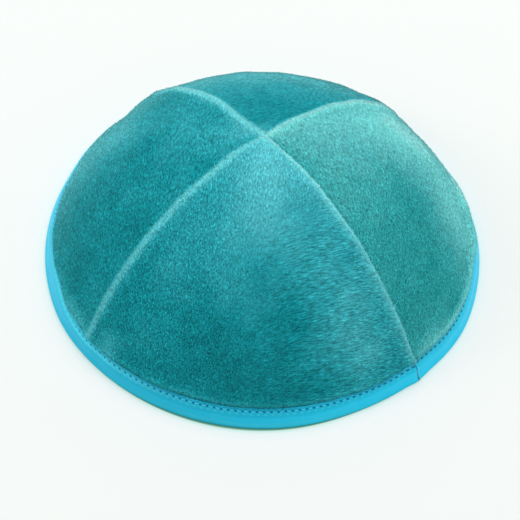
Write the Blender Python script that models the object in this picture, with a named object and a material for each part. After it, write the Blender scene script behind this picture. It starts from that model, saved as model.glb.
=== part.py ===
"""A velvet skullcap: four sewn gores, and a narrow binding folded round the rim.

Metres, +Z up. The origin is on the surface that the cap rests on, at the middle of its rim, and
the front gore faces -Y. All walls follow one dome. Its level cross-section is a circle at the rim
and flattens between the seams towards the crown, where each seam is a soft corner.

Three values place a point on it: the azimuth round +Z, the climb from 0 at the rim to 1 at the
crown, and the depth inside the dome's outer face.
"""
from math import asin, atan2, cos, exp, pi, radians, sin

import bmesh
import bpy

# Whole cap
RIM_RADIUS = 0.090
CROWN_HEIGHT = 0.0581
RADIUS_POWER = 2.37
HEIGHT_POWER = 1.175
FLATTENING = 0.083

# Seams, counted round +Z from the one between the left and front gores
SEAM_AZIMUTH = radians(-138.05)
GORE_ANGLE = pi / 2
SEAM_DIP = 0.0008
CREASE_WIDTH = 0.0020
WIDEST_CREASE = 0.22

# Cloth and the gap that keeps neighbouring pieces apart
PANEL_WALL = 0.0022
GAP = 0.0003

# Binding: a strip folded over the gores' lower edge, as high inside as outside
BINDING_THICKNESS = 0.0008
BINDING_HEIGHT = 0.0062
BINDING_DEPTH = PANEL_WALL + GAP + BINDING_THICKNESS
BINDING_BEND = 0.0005
BINDING_LIP = 0.0003
STITCH_DROP = 0.0011
STITCH_SINK = 0.0002
SWELL_HEIGHT = 0.0020

# How finely the solids are divided
BODY_COLUMNS = 12
HIGH_ROWS = 19
BINDING_STATIONS = 88

# Soft bulges and dents that the worn cloth has. Outward is negative for a dent.
MARKS = (
    # name, azimuth in degrees, height, reach across, reach up, outward
    ("right_rim_bulge", -31, 0.000, 0.018, 0.020, 0.0009),
    ("binding_join", -48.5, 0.000, 0.004, 0.008, 0.0006),
    ("front_right_flat", -66, 0.000, 0.020, 0.014, -0.0006),
    ("left_rim_bulge", -147, 0.000, 0.016, 0.014, 0.0003),
    ("back_left_bulge", 152, 0.009, 0.012, 0.012, 0.0009),
    ("back_left_dent", 141, 0.019, 0.005, 0.008, -0.0009),
    ("left_seam_corner", 137, 0.024, 0.006, 0.008, 0.0008),
    ("back_left_flat", 117, 0.034, 0.012, 0.012, -0.0006),
    ("back_right_bulge", 66, 0.034, 0.014, 0.012, 0.0004),
    ("right_seam_corner", 48, 0.030, 0.007, 0.008, 0.0008),
    ("right_seam_dent", 41, 0.023, 0.006, 0.007, -0.0007),
    ("right_flat", 32, 0.014, 0.014, 0.010, -0.0009),
    ("right_low_flat", 18, 0.003, 0.014, 0.010, -0.0005),
)

# Places where a seam leaves its straight way near the crown
DRIFTS = (
    # name, azimuth in degrees, distance from the crown, reach along, sideways
    ("back_left_seam", 132, 0.012, 0.009, 0.0012),
    ("front_left_seam", -138, 0.014, 0.008, -0.0006),
)
DRIFT_SPREAD = radians(30)

# Places where the binding is wider
RISES = (
    # name, azimuth in degrees, reach across, rise
    ("left_rise", -157, 0.014, 0.0014),
    ("join_rise", -46, 0.012, 0.0009),
)

VELVET_COLOUR = (0.020, 0.235, 0.270, 1.0)
VELVET_ROUGHNESS = 0.85
BINDING_COLOUR = (0.020, 0.430, 0.720, 1.0)
BINDING_ROUGHNESS = 0.45
SHARP_ANGLE = radians(40)


def turn_between(azimuth, other):
    """The smallest turn from one azimuth to another."""
    turn = azimuth - other
    return atan2(sin(turn), cos(turn))


def hump(distance, reach):
    return exp(-(distance / reach) ** 2)


def climb_of(height):
    """The climb at which the dome's outer face has this height."""
    return asin((height / CROWN_HEIGHT) ** (HEIGHT_POWER / 2)) / (pi / 2)


def outward(azimuth, height):
    """How far the marks push the wall out at this place."""
    total = 0.0
    for name, place, level, across, up, push in MARKS:
        sideways = turn_between(azimuth, radians(place)) * RIM_RADIUS
        total += push * hump(sideways, across) * hump(height - level, up)
    return total


def drift(azimuth, reach):
    """The turn that moves a point near the crown with its wandering seam."""
    total = 0.0
    for name, place, distance, along, sideways in DRIFTS:
        near = hump(turn_between(azimuth, radians(place)), DRIFT_SPREAD)
        total += sideways * near * hump(reach - distance, along) / max(reach, distance / 2)
    return total


def reach_at(climb, depth):
    """The seam's distance from the middle axis."""
    return (RIM_RADIUS - depth) * cos(climb * pi / 2) ** (2 / RADIUS_POWER)


def dome_point(azimuth, climb, depth):
    rise = sin(climb * pi / 2) ** (2 / HEIGHT_POWER)
    inside = depth - outward(azimuth, rise * CROWN_HEIGHT)
    reach = 0.0
    if climb < 1:
        reach = reach_at(climb, inside)
    from_corner = abs(sin(2 * (azimuth - SEAM_AZIMUTH)))
    reach *= 1 - FLATTENING * rise * from_corner
    turned = azimuth + drift(azimuth, reach)
    return (reach * cos(turned), reach * sin(turned), (CROWN_HEIGHT - inside) * rise)


def binding_height(azimuth):
    height = BINDING_HEIGHT
    for name, place, across, rise in RISES:
        height += rise * hump(turn_between(azimuth, radians(place)) * RIM_RADIUS, across)
    return height


def smooth_fall(share):
    """From 1 down to 0 as the share goes from 0 to 1."""
    share = min(max(share, 0.0), 1.0)
    return 1 - share * share * (3 - 2 * share)


def gore_rows(azimuth):
    """The climbs of one column's points, from the tucked lower edge to the crown."""
    top = binding_height(azimuth)
    heights = (
        BINDING_THICKNESS + GAP,
        top / 2,
        top + GAP,
        top + GAP + SWELL_HEIGHT / 2,
        top + GAP + SWELL_HEIGHT,
    )
    climbs = [climb_of(height) for height in heights]
    first = climbs[-1]
    for row in range(1, HIGH_ROWS + 1):
        climbs.append(first + (1 - first) * row / HIGH_ROWS)
    return climbs


def gore_shares(row):
    """How far across its gore each column of this row lies, from 0 at one seam to 1 at the next.

    The columns by a seam keep the crease's real width until the gore is narrow.
    """
    climb = gore_rows(SEAM_AZIMUTH)[row]
    width = GORE_ANGLE * reach_at(min(climb, 0.999), 0)
    crease = min(CREASE_WIDTH / width, WIDEST_CREASE)
    shares = [0.0, crease / 2]
    for column in range(BODY_COLUMNS + 1):
        shares.append(crease + (1 - 2 * crease) * column / BODY_COLUMNS)
    shares += [1 - crease / 2, 1.0]
    return shares, crease


def gore_face_depth(azimuth, climb, share, crease):
    """The outer face lies under the binding, swells above it, and dips into each seam."""
    height = CROWN_HEIGHT * sin(climb * pi / 2) ** (2 / HEIGHT_POWER)
    above = height - binding_height(azimuth) - GAP
    tuck = (BINDING_THICKNESS + GAP) * smooth_fall(above / SWELL_HEIGHT)
    from_seam = min(share, 1 - share) / crease
    dip = SEAM_DIP * max(1 - from_seam, 0) ** 2
    return max(tuck, dip)


def new_object(name, verts, faces, colour, roughness):
    """One closed body with its faces turned out and its own material."""
    mesh = bpy.data.meshes.new(name)
    mesh.from_pydata(verts, [], faces)
    shape = bmesh.new()
    shape.from_mesh(mesh)
    bmesh.ops.recalc_face_normals(shape, faces=shape.faces)
    bmesh.ops.triangulate(shape, faces=shape.faces)
    shape.to_mesh(mesh)
    shape.free()
    mesh.shade_smooth()
    mesh.set_sharp_from_angle(angle=SHARP_ANGLE)
    mesh.materials.append(new_material(name, colour, roughness))
    piece = bpy.data.objects.new(name, mesh)
    bpy.context.scene.collection.objects.link(piece)
    return piece


def new_material(name, colour, roughness):
    material = bpy.data.materials.new(name)
    material.use_nodes = True
    shader = material.node_tree.nodes["Principled BSDF"]
    shader.inputs["Base Color"].default_value = colour
    shader.inputs["Roughness"].default_value = roughness
    shader.inputs["Metallic"].default_value = 0.0
    return material


def gore_face(first_azimuth, inner):
    """The grid of points on one face of a gore, row by row, without the crown.

    Each row stops half a gap short of the upright planes of its two seams.
    """
    grid = []
    row_count = len(gore_rows(first_azimuth))
    for row in range(row_count - 1):
        shares, crease = gore_shares(row)
        inset = asin(GAP / 2 / reach_at(gore_rows(first_azimuth)[row], PANEL_WALL))
        points = []
        for share in shares:
            azimuth = first_azimuth + inset + share * (GORE_ANGLE - 2 * inset)
            climb = gore_rows(azimuth)[row]
            depth = PANEL_WALL
            if not inner:
                depth = gore_face_depth(azimuth, climb, share, crease)
            points.append(dome_point(azimuth, climb, depth))
        grid.append(points)
    return grid


def crown_corner(middle, depth):
    """A gore's corner at the crown, half a gap from both seam planes."""
    reach = GAP / 2 ** 0.5
    return (reach * cos(middle), reach * sin(middle), CROWN_HEIGHT - depth)


def sheet_faces(rows, crown):
    """The faces of one side of a gore: a grid of rows, and a fan at the crown."""
    faces = []
    for lower, upper in zip(rows, rows[1:]):
        for column in range(len(lower) - 1):
            faces.append((lower[column], lower[column + 1], upper[column + 1], upper[column]))
    last = rows[-1]
    for column in range(len(last) - 1):
        faces.append((last[column], last[column + 1], crown))
    return faces


def ribbon_faces(edge, back):
    """The faces across the cloth's thickness, between an edge of each side."""
    faces = []
    for step in range(len(edge) - 1):
        faces.append((edge[step], edge[step + 1], back[step + 1], back[step]))
    return faces


def build_gore(name, number):
    """A gore is two faces joined along the rim and both seams, with a corner at the crown."""
    first_azimuth = SEAM_AZIMUTH + number * GORE_ANGLE
    middle = first_azimuth + GORE_ANGLE / 2
    verts = []
    faces = []
    borders = []
    for inner, crown_depth in ((False, SEAM_DIP), (True, PANEL_WALL)):
        rows = []
        for points in gore_face(first_azimuth, inner):
            rows.append(range(len(verts), len(verts) + len(points)))
            verts += points
        crown = len(verts)
        verts.append(crown_corner(middle, crown_depth))
        faces += sheet_faces(rows, crown)
        first_seam = [row[0] for row in rows] + [crown]
        second_seam = [row[-1] for row in rows] + [crown]
        borders.append((rows[0], first_seam, second_seam))
    for edge, back in zip(*borders):
        faces += ribbon_faces(edge, back)
    return new_object(name, verts, faces, VELVET_COLOUR, VELVET_ROUGHNESS)


def binding_section(azimuth):
    """The folded strip's outline, as heights and depths, round from its outer upper lip."""
    top = binding_height(azimuth)
    wall = BINDING_THICKNESS
    back = BINDING_DEPTH
    corner = BINDING_BEND * (1 - 0.5 ** 0.5)
    return (
        (top - BINDING_LIP, 0),
        (top, BINDING_LIP),
        (top, wall),
        (wall, wall),
        (wall, back - wall),
        (top, back - wall),
        (top, back - BINDING_LIP),
        (top - BINDING_LIP, back),
        (BINDING_BEND, back),
        (corner, back - corner),
        (0, back - BINDING_BEND),
        (0, BINDING_BEND),
        (corner, corner),
        (BINDING_BEND, 0),
        (top - 2 * STITCH_DROP, 0),
        (top - STITCH_DROP, STITCH_SINK),
    )


def build_binding():
    """The strip's section, carried once round the rim."""
    verts = []
    for station in range(BINDING_STATIONS):
        azimuth = SEAM_AZIMUTH + station * 2 * pi / BINDING_STATIONS
        for height, depth in binding_section(azimuth):
            verts.append(dome_point(azimuth, climb_of(height), depth))
    around = len(binding_section(0))
    faces = []
    for station in range(BINDING_STATIONS):
        here = station * around
        there = (station + 1) % BINDING_STATIONS * around
        for step in range(around):
            following = (step + 1) % around
            faces.append((here + step, here + following, there + following, there + step))
    return new_object("edge_binding", verts, faces, BINDING_COLOUR, BINDING_ROUGHNESS)


def main():
    for old in list(bpy.data.objects):
        bpy.data.objects.remove(old, do_unlink=True)
    for number, side in enumerate(("front", "right", "back", "left")):
        build_gore("panel_" + side, number)
    build_binding()


main()
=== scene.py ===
"""Looks of a velvet skullcap: four gores with their pile, a stitched binding, soft light and a floor.

Metres, +Z up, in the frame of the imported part. The dome's sizes and its three values for a place
(azimuth round +Z, climb from rim to crown, depth inside the outer face) are those of the part.
"""
from math import cos, pi, radians, sin, sqrt

import bpy
import numpy as np
from mathutils import Matrix

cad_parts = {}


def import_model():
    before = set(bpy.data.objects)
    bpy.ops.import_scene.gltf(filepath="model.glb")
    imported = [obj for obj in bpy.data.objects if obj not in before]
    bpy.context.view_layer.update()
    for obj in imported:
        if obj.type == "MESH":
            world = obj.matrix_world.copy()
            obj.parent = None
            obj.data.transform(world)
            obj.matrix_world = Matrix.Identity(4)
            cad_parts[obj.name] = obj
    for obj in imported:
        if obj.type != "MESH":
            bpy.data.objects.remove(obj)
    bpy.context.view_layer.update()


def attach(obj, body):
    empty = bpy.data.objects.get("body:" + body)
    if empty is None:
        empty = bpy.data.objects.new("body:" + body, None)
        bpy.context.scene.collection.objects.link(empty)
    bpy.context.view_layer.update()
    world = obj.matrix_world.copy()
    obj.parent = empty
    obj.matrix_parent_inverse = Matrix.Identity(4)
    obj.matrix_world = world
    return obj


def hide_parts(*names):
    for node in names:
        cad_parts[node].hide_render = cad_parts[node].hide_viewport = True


# Whole cap, as in the part
RIM_RADIUS = 0.090
CROWN_HEIGHT = 0.0581
RADIUS_POWER = 2.37
HEIGHT_POWER = 1.175
FLATTENING = 0.083
SEAM_AZIMUTH = radians(-138.05)
GORE_ANGLE = pi / 2
PANEL_WALL = 0.0022
GAP = 0.0003
CROWN_REACH = GAP / sqrt(2)
# The gores' inner faces meet at the sewn seam, so that no light comes through.
SEWN_GAP = 0.00002
GORE_SIDES = ("front", "right", "back", "left")

# Soft bulges and dents, as in the part
MARKS = (
    # name, azimuth in degrees, height, reach across, reach up, outward
    ("right_rim_bulge", -31, 0.000, 0.018, 0.020, 0.0009),
    ("binding_join", -48.5, 0.000, 0.004, 0.008, 0.0006),
    ("front_right_flat", -66, 0.000, 0.020, 0.014, -0.0006),
    ("left_rim_bulge", -147, 0.000, 0.016, 0.014, 0.0003),
    ("back_left_bulge", 152, 0.009, 0.012, 0.012, 0.0009),
    ("back_left_dent", 141, 0.019, 0.005, 0.008, -0.0009),
    ("left_seam_corner", 137, 0.024, 0.006, 0.008, 0.0008),
    ("back_left_flat", 117, 0.034, 0.012, 0.012, -0.0006),
    ("back_right_bulge", 66, 0.034, 0.014, 0.012, 0.0004),
    ("right_seam_corner", 48, 0.030, 0.007, 0.008, 0.0008),
    ("right_seam_dent", 41, 0.023, 0.006, 0.007, -0.0007),
    ("right_flat", 32, 0.014, 0.014, 0.010, -0.0009),
    ("right_low_flat", 18, 0.003, 0.014, 0.010, -0.0005),
    # In the looks only: the left side has settled inwards a little.
    ("left_side", -179, 0.003, 0.045, 0.014, -0.0007),
)
DRIFTS = (
    # name, azimuth in degrees, distance from the crown, reach along, sideways
    ("back_left_seam", 132, 0.012, 0.009, 0.0012),
    ("front_left_seam", -138, 0.014, 0.008, -0.0006),
)
DRIFT_SPREAD = radians(30)
RISES = (
    # name, azimuth in degrees, reach across, rise
    ("left_rise", -157, 0.014, 0.0014),
    ("join_rise", -46, 0.012, 0.0009),
)

# Velvet relief. The cloth rolls into each seam, and bulges over the binding's upper edge.
FOLD_WIDTH = 0.0012
FOLD_DEPTH = 0.00035
FOLD_WANDER = 0.00010
# Each name that ends in WAVES is a random pattern's wavelength and seed.
FOLD_WAVES = (0.0015, 21)
PILE_SINK = 0.0002
OVERHANG = 0.0007
OVERHANG_RISE = 0.0012
OVERHANG_REACH = 0.0018
OVERHANG_CHANGES = (
    # name, azimuth in degrees, reach across, change
    ("front", -93, 0.060, -0.0004),
    ("right", -2, 0.028, 0.0014),
    ("left", -162, 0.035, -0.0003),
    ("back_left", 158, 0.032, -0.0009),
)
TUCK_HEIGHT = 0.0009
ALLOWANCE = 0.0060
ALLOWANCE_SWELL = 0.00020
SWELL_FADE = 1.6
GORE_CELLS = 200
SEAM_DENSITY = 1.25
# Start and width on a gore's texture, for its edge along and up
FACE_MAP = (0.01, 0.70)
BACK_MAP = (0.72, 0.27)
WALL_MAP = (0.01, 0.98, 0.715, 0.004)
RELIEF = (
    # name, wavelength, height, seed
    ("slack", 0.0180, 0.00014, 11),
    ("ripple", 0.0065, 0.00004, 12),
    ("clumps", 0.0014, 0.00003, 13),
)

# Inner face: the cloth is turned back beside each seam, with a frayed end.
TURNED_BACK = 0.0005
TURNED_BACK_END = 0.0006
FRAY = 0.00025
FRAY_WAVES = (0.0011, 31)
SEAM_PULL_REACH = 0.0010
BACK_SLACK = 0.00008
BACK_WAVES = (0.009, 32)

# The gore that was sewn on top has a raised edge along its seam, made lighter with painted sheen.
RIDGES = (
    # side, seam (0 is the gore's first), distance of the crest, reach, lightness of the painted sheen low
    # down and at the crown, and lightness of the painted sheen on the other gore's lip beside it
    ("front", 0, 0.0004, 0.0014, 0.64, 0.74, 0.46),
    ("front", 1, 0.0010, 0.0010, 0.70, 0.84, 0.24),
    ("right", 1, 0.0008, 0.0014, 1.00, 0.84, 0.55),
    ("left", 0, 0.0007, 0.0016, 1.00, 0.76, 0.55),
)
RIDGE_LIP_REACH = 0.0009
RIDGE_FACE = 0.0006
RIDGE_FACE_SLOPE = 1.4
RIDGE_RISE = 0.00045
RIDGE_RISE_REACH = 0.0012
RIDGE_FOLD_WIDTH = 0.0009
RIDGE_PAINTED_SHEEN = 0.11
RIDGE_PAINTED_SHEEN_REACH = 0.0036
RIDGE_CROWN_HEIGHT = 0.042

# How light each gore is painted, from 0 to 1: the pile's tone with painted light, shade and sheen; how
# much painted warm light it takes; and which way its grain runs seen from above.
GORE_NAPS_AND_PAINTED_LIGHT = (
    # side, lightness with painted light, painted warm light, grain in degrees, speckle
    ("front", 0.11, 0.0, 85, 1.0),
    ("right", 0.20, 0.9, 124, 0.95),
    ("back", 0.14, 0.0, 10, 0.6),
    ("left", 0.15, 0.1, 80, 0.9),
)
# Painted warm light fades out where the pile is painted lightest.
PAINTED_WARM_LIGHT_END = 1.15
PAINTED_WARM_LIGHT_FADE = 0.5
NAP_AND_PAINTED_LIGHT_LEVELS, PAINTED_WARM_LIGHTS, GRAINS, GORE_SPECKLES = np.array([row[1:] for row in GORE_NAPS_AND_PAINTED_LIGHT]).T
GRAIN_ANGLES = np.radians(GRAINS)
GRAIN_SWING = radians(67)
SWING_START = radians(23)
SWING_SPAN = radians(50)
SWING_TOP = 0.058
SWING_FADE = 0.012
GRAIN_STRETCH = (0.36, 1.0, 1.0)
SWUNG_STRETCH = (0.17, 1.65, 1.0)
SPECKLE_SIZE = 0.00047
SPECKLE_CONTRAST = 22.0
SPECKLE_DARK_END = 1.1
SPECKLE_LEAST = 0.25
# Patches of painted light and sheen on the pile, at crowns, sides, hems and outlines, and one of painted
# shade.
PAINTED_LIGHT_AND_SHADE_PATCHES = (
    # side, name, azimuth in degrees, height, reach across, reach up, lightness added, below 0 for painted
    # shade
    ("front", "tip", -85, 0.0581, 0.080, 0.003, 0.10),
    ("front", "crown", -88, 0.0581, 0.070, 0.014, 0.27),
    ("front", "right_brush", -61, 0.025, 0.022, 0.018, 0.22),
    ("front", "left_brush", -122, 0.026, 0.020, 0.020, 0.05),
    ("right", "crown", 0, 0.0581, 0.080, 0.013, 0.20),
    ("front", "mid", -90, 0.040, 0.050, 0.010, 0.045),
    ("right", "outline_low", 16, 0.009, 0.014, 0.006, 0.42),
    ("right", "hem_line", -28, 0.0076, 0.030, 0.0014, 0.38),
    ("back", "outline", 111, 0.034, 0.030, 0.006, 0.10),
    ("back", "left_outline", 124, 0.033, 0.014, 0.010, 0.34),
    ("left", "back_outline", 140, 0.022, 0.014, 0.012, 0.22),
    ("left", "outline", 156, 0.012, 0.020, 0.008, 0.12),
    ("right", "back_brush", 28, 0.034, 0.030, 0.018, 0.62),
    ("right", "side_brush", -2, 0.016, 0.022, 0.014, 0.26),
    ("right", "edge", 16, 0.018, 0.030, 0.012, 0.18),
    ("right", "outline", 33, 0.013, 0.017, 0.009, 0.42),
    ("right", "hem", -8, 0.006, 0.034, 0.0024, 0.20),
    ("front", "hem", -93, 0.0078, 0.080, 0.0012, 0.10),
    ("right", "seam_foot", -42, 0.008, 0.012, 0.0055, 0.20),
    ("left", "crown", 172, 0.0581, 0.060, 0.008, 0.08),
    ("left", "tip", 172, 0.0581, 0.080, 0.0007, 0.12),
    ("back", "tip", 95, 0.0581, 0.080, 0.0001, 0.14),
    ("left", "back_brush", 160, 0.030, 0.022, 0.014, 0.20),
    ("left", "low_dark", -162, 0.026, 0.018, 0.012, -0.04),
    ("left", "hem", -146, 0.007, 0.014, 0.0045, 0.23),
    ("front", "left_foot", -131, 0.010, 0.006, 0.007, 0.12),
    ("back", "shoulder", 93, 0.044, 0.100, 0.009, 0.28),
)
MOTTLES = (
    # name, wavelength, lightness, seed
    ("crush", 0.0220, 0.015, 61),
    ("blotches", 0.0090, 0.010, 62),
)
# Colours for the painted lightness; the lightest ones stand for painted sheen.
NAP_AND_PAINTED_LIGHT_COLOURS = (
    # lightness, red, green, blue
    (0.00, 0.004, 0.138, 0.165),
    (0.15, 0.008, 0.264, 0.307),
    (0.25, 0.028, 0.358, 0.414),
    (0.45, 0.096, 0.526, 0.590),
    (0.70, 0.155, 0.735, 0.790),
    (1.00, 0.410, 0.960, 0.990),
)
# Painted warm light multiplies the colour by these.
PAINTED_WARM_LIGHT_FACTORS = (1.25, 1.0, 0.90)

# Pile
TUFT_KINDS = {
    # kind: lean in degrees, length, scatter, and the strength, wavelength and seed of the combing
    "open": (62, 0.00090, 0.30, 0.15, 0.0120, 41),
    "ridge": (70, 0.00100, 0.25, 0.45, 0.0014, 42),
    "hem": (60, 0.00100, 0.30, 0.40, 0.0014, 43),
}
PILE_SEED = 100
TUFTS_PER_GORE = 15000
TUFT_MARGIN = 0.002
TUFT_TOP_CLIMB = 0.9985
TUFT_WIDTH = 0.00030
TUFT_SIZES = (0.7, 1.2)
TUFT_LEAN_SPREAD = 0.12
TUFT_SINK = 0.00006
TUFT_FOOT_SHADE = 0.03
TUFT_TIP_LIGHT = 0.08
TUFT_TURN = 0.2
TUFT_UNEVEN = 0.02
RIDGE_UNEVEN = 4.0
RIDGE_PITCH = 0.00030
RIDGE_ROWS = 4
RIDGE_ROW_STEP = 0.00035
RIDGE_ROW_SPREAD = 0.8
RIDGE_TOP_CLIMB = 0.998
RIDGE_MOST_SINE = 0.7
RIDGE_COMB_UP = 0.1
RIDGE_WIDTH = 0.7
HEM_PITCH = 0.00035
HEM_ROWS = 2
HEM_START = 0.6
HEM_ROW_STEP = 0.7
HEM_ROW_SPREAD = 0.5

# Binding
BINDING_THICKNESS = 0.0008
BINDING_HEIGHT = 0.0066
BINDING_DEPTH = PANEL_WALL + GAP + BINDING_THICKNESS
BINDING_BEND = 0.0003
BINDING_LIP = 0.00035
FACE_SHARES = (0.05, 0.11, 0.2, 0.32, 0.46, 0.6, 0.73, 0.86, 1.0)
GROOVE_STEPS = (-1.3, -0.65, 0.0, 0.65, 1.3)
BACK_GROOVE_STEPS = (1.4, 0.7, 0.0, -0.7, -1.4)
GROOVE_MARGIN = 2.0
FACE_REACH = 0.0011
BINDING_FLARE = 0.00028
FLARE_HEIGHT = 0.0014
# Painted shade on the strip's front and left.
SHADE_AZIMUTH = radians(-120)
SHADE_REACH = 0.068
SHADE_DEPTH = 0.25
# Painted highlights on the strip: bands just under the stitches on the left and right, and a band low on
# the front.
PAINTED_STRIP_HIGHLIGHTS = (
    # name, azimuth in degrees, distance under the stitches, reach across, reach up, strength
    ("left_upper", -146, 0.0001, 0.048, 0.0008, 1.10),
    ("right_upper", -30, -0.0004, 0.042, 0.0010, 0.60),
    ("front_foot", -94, 0.0046, 0.050, 0.0006, 0.35),
)
STITCH_DROP = 0.0008
GROOVE_DEPTH = 0.00014
GROOVE_REACH = 0.00045
HOLE_DEPTH = 0.00025
HOLE_LENGTH = 0.00044
HOLE_HEIGHT = 0.00024
HOLE_SLANT = 0.6
LONG_STITCH_AZIMUTH = radians(-42)
LONG_STITCH_REACH = 0.036
LONG_STITCH_SHARE = 1.3
# Painted glints beside each needle hole.
GLINT_LENGTH = 0.00055
GLINT_HEIGHT = 0.00020
GLINT_PLACE = (0.00060, 0.00070)
BULGE_DEPTH = 0.00045
BULGE_DROP = 0.0017
BULGE_REACH = 0.0011
LIP_TUCK = 0.00035
LIP_TUCK_REACH = 0.0008
PUCKER = 0.00008
PUCKER_SLANT = 300.0
PUCKER_DROP = 0.0003
PUCKER_REACH = 0.0009
STRIP_SLACK = 0.00006
STRIP_WAVES = (0.011, 51)
STRIP_SLACK_FOOT = 0.002
# Painted contact shadow along the strip's foot, strongest at the front.
CONTACT_SHADOW_HEIGHT = 0.00060
CONTACT_SHADOW_AZIMUTH = radians(-94)
CONTACT_SHADOW_SPREAD = 0.050
STITCHES = 212
STATIONS = 8 * STITCHES
STRIP_MAP_ROWS = 8
STRIP_MAP_FILL = 0.98
QUAD_CORNERS = np.array([(0, 0), (1, 0), (1, 1), (0, 1)])
STITCH_FADE_AZIMUTH = radians(-158)
STITCH_FADE_REACH = 0.026
STITCH_FADE_SHARE = 0.9
THREAD_RINGS = 5
THREAD_SIDES = 6
THREAD_SHARE = 0.30
THREAD_TILT = 0.0002
THREAD_SAG = 0.00016
THREAD_LIFT = 0.00010
THREAD_RADIUS = 0.00017
THREAD_TAPER = 0.85
JOIN_AZIMUTH = radians(-48.3)
JOIN_GATHER = 0.6
JOIN_REACH = 0.0040
JOIN_LIFT = 0.00050
JOIN_LIFT_FOOT = 0.0030
JOIN_LIFT_LOW = 0.2
JOIN_LIFT_REACH = 0.0035
JOIN_EASE = 0.0013
JOIN_SINK = 0.0003
JOIN_SINK_REACH = 0.0020
# Painted shadow along the overlapping end at the join.
CREASE_SHADOW_PLACE = -0.00010
CREASE_SHADOW_BOW = 0.00027
CREASE_SHADOW_REACH = 0.00032
GLOSS_LEAST = 0.33
GLOSS_CHANGE = 0.15
STRIP_COLOURS = ((0.010, 0.640, 0.970, 1), (0.024, 0.720, 1.000, 1))
PAINTED_HIGHLIGHT_COLOUR = (0.150, 0.890, 1.000, 1)
PAINTED_HIGHLIGHT_SHARE = 0.6
GLINT_COLOUR = (0.110, 0.820, 1.000, 1)
GLINT_SHARE = 0.5
# Painted shadow in the needle holes and along the crease at the join.
HOLE_SHADOW_COLOUR = (0.002, 0.120, 0.285, 1)
HOLE_SHADOW_GAIN = 1.4
HOLE_SHADOW_MOST = 0.95
CREASE_SHADOW_SHARE = 0.75
# Colour of the painted contact shadow at the strip's foot.
FOOT_SHADOW_COLOUR = (0.040, 0.230, 0.180, 1)
FOOT_SHADOW_SHARE = 0.85
THREAD_COLOURS = ((0.030, 0.640, 0.920, 1), (0.080, 0.800, 1.000, 1))
BACKING_COLOURS = ((0.010, 0.150, 0.180, 1), (0.030, 0.260, 0.300, 1))

# Floor, with a pale painted contact shadow round the rim
FLOOR_COLOURS = ((0.875, 0.905, 0.885, 1), (0.895, 0.915, 0.905, 1))
FLOOR_STATIONS = 360
# Distances of the floor's rings from the rim
FLOOR_RINGS = (
    -0.080, -0.001, 0, 0.0003, 0.0006, 0.0009, 0.0013, 0.0018, 0.0025, 0.0035, 0.005, 0.02, 0.2, 3.0,
)
CONTACT_SHADOW_REACH = 0.005
CONTACT_SHADOW_COLOURS = (
    # distance as a share of the reach, red, green, blue
    (0.00, 0.13, 0.36, 0.26),
    (0.14, 0.13, 0.36, 0.26),
    (0.22, 0.68, 0.92, 0.84),
    (0.34, 0.85, 0.96, 0.92),
    (0.50, 0.95, 0.985, 0.975),
    (1.00, 1.00, 1.00, 1.00),
)
FAINT_START = 0.22

# Camera, from the photograph's outline and seams, with distances in rim radii
CAMERA_ELEVATION = radians(52.32)
CAMERA_DISTANCE = 4.25
CAMERA_SIDE = -0.0065
CAMERA_RISE = -0.1209
CAMERA_ROLL = radians(1.936)
CAMERA_LENS = 63.3
SENSOR = 36.0

# Soft light
LIGHTS = (
    # name, azimuth and elevation in degrees, distance, size, power, colour
    ("key", 60, 74, 1.6, 1.4, 17, (1.07, 1.0, 1.01)),
    ("left", -172, 32, 1.2, 0.42, 1.7, (1.0, 1.0, 1.0)),
)
WORLD_COLOUR = (0.92, 1.0, 0.98, 1)
WORLD_STRENGTH = 0.5


def turn_between(azimuth, other):
    """The smallest turn from one azimuth to another."""
    turn = azimuth - other
    return np.arctan2(np.sin(turn), np.cos(turn))


def hump(distance, reach):
    return np.exp(-(distance / reach) ** 2)


def beside(azimuth, place, reach):
    """From 1 at a place down to 0 past this reach along the rim."""
    return hump(turn_between(azimuth, place) * RIM_RADIUS, reach)


def changed(start, azimuth, rows):
    """A value with a table's changes added, each of them round its own azimuth."""
    for name, place, across, change in rows:
        start = start + change * beside(azimuth, radians(place), across)
    return start


def smooth_rise(share):
    """From 0 up to 1 as the share goes from 0 to 1."""
    share = np.clip(share, 0, 1)
    return share * share * (3 - 2 * share)


def climb_of(height):
    """The climb at which the dome's outer face has this height."""
    share = np.clip(height / CROWN_HEIGHT, 0, 1)
    return np.arcsin(share ** (HEIGHT_POWER / 2)) / (pi / 2)


def rise_of(climb):
    return np.sin(climb * pi / 2) ** (2 / HEIGHT_POWER)


def marked(azimuth, height, rows):
    """What a table's marks add up to at this place."""
    total = 0.0
    for name, place, level, across, up, strength in rows:
        total = total + strength * beside(azimuth, radians(place), across) * hump(height - level, up)
    return total


def outward(azimuth, height):
    """How far the marks push the wall out at this place."""
    return marked(azimuth, height, MARKS)


def drift(azimuth, reach):
    """The turn that moves a point near the crown with its wandering seam."""
    total = 0.0
    for name, place, distance, along, sideways in DRIFTS:
        near = hump(turn_between(azimuth, radians(place)), DRIFT_SPREAD)
        total = total + sideways * near * hump(reach - distance, along) / np.maximum(reach, distance / 2)
    return total


def reach_at(climb, depth):
    """The seam's distance from the middle axis."""
    return (RIM_RADIUS - depth) * np.abs(np.cos(climb * pi / 2)) ** (2 / RADIUS_POWER)


def dome_points(azimuth, climb, depth):
    rise = rise_of(climb)
    inside = depth - outward(azimuth, rise * CROWN_HEIGHT)
    from_corner = np.abs(np.sin(2 * (azimuth - SEAM_AZIMUTH)))
    reach = reach_at(climb, inside) * (1 - FLATTENING * rise * from_corner)
    reach = np.maximum(reach, CROWN_REACH)
    turned = azimuth + drift(azimuth, reach)
    height = (CROWN_HEIGHT - inside) * rise
    return np.stack([reach * np.cos(turned), reach * np.sin(turned), height], axis=-1)


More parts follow.
